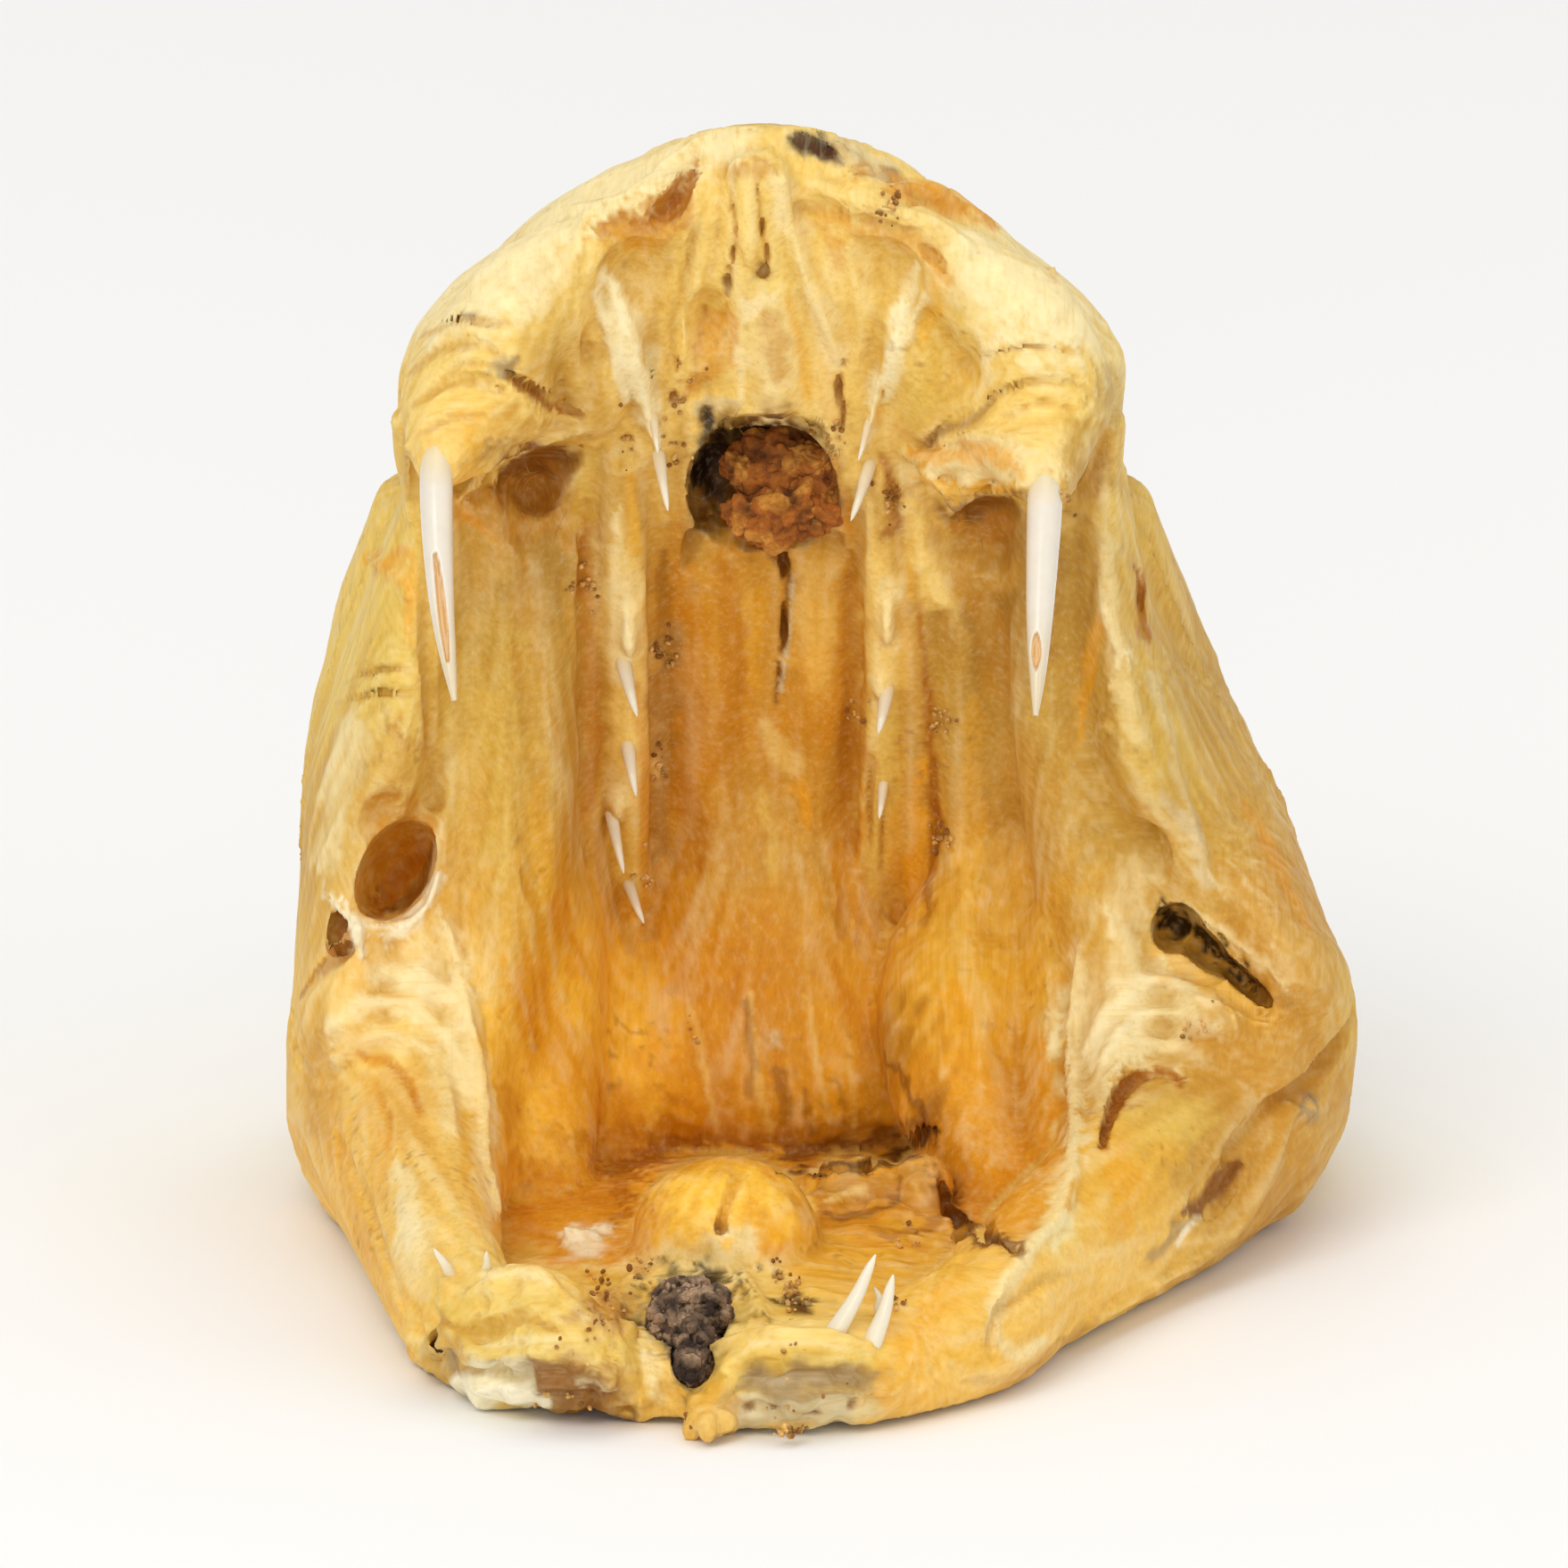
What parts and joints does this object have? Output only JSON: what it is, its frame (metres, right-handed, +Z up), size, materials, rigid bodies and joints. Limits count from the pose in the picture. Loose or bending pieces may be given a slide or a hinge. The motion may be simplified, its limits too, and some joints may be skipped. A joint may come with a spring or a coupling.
{
  "type": "preserved rattlesnake head",
  "caption": "Dried, skinned rattlesnake head lying on its lower jaw with the mouth gaping wide, fangs down, jaws and throat shown.",
  "frame": {"origin": "middle of the specimen's outline seen from above, at the level of the surface it lies on", "axes": "+Z up, -Y the way the open mouth faces, +X to the right of someone looking into the mouth"},
  "size_m": [0.043, 0.0637, 0.0472],
  "materials": {
    "dried_hide": "dull waxy, dried cream-coloured tissue",
    "dried_membrane": "satin, fibrous ochre membrane",
    "throat_lining": "satin, striated orange-brown lining",
    "waxy_jaw": "soft waxy gloss, orange-yellow",
    "fang_ivory": "glossy ivory, translucent at the tips",
    "brown_debris": "matt crumbly brown",
    "grey_soil": "matt grey-brown grains",
    "dried_eye": "dull glossy, shrunken dark eye"
  },
  "bodies": {
    "root": {"snout": "dried_hide", "cranium": "dried_hide", "cheek_left": "dried_membrane", "cheek_right": "dried_membrane", "palate": "dried_membrane", "throat": "throat_lining", "neck": "dried_membrane", "mandible_left": "waxy_jaw", "mandible_right": "waxy_jaw", "mouth_floor": "waxy_jaw", "glottis": "waxy_jaw", "fang_sheath_left": "dried_hide", "fang_sheath_right": "dried_hide", "tooth_ridge_left": "dried_membrane", "tooth_ridge_right": "dried_membrane", "fang_left": "fang_ivory", "fang_right": "fang_ivory", "choana_debris": "brown_debris", "soil_plug": "grey_soil", "eye_left": "dried_eye", "eye_right": "dried_eye"}
  },
  "joints": []
}
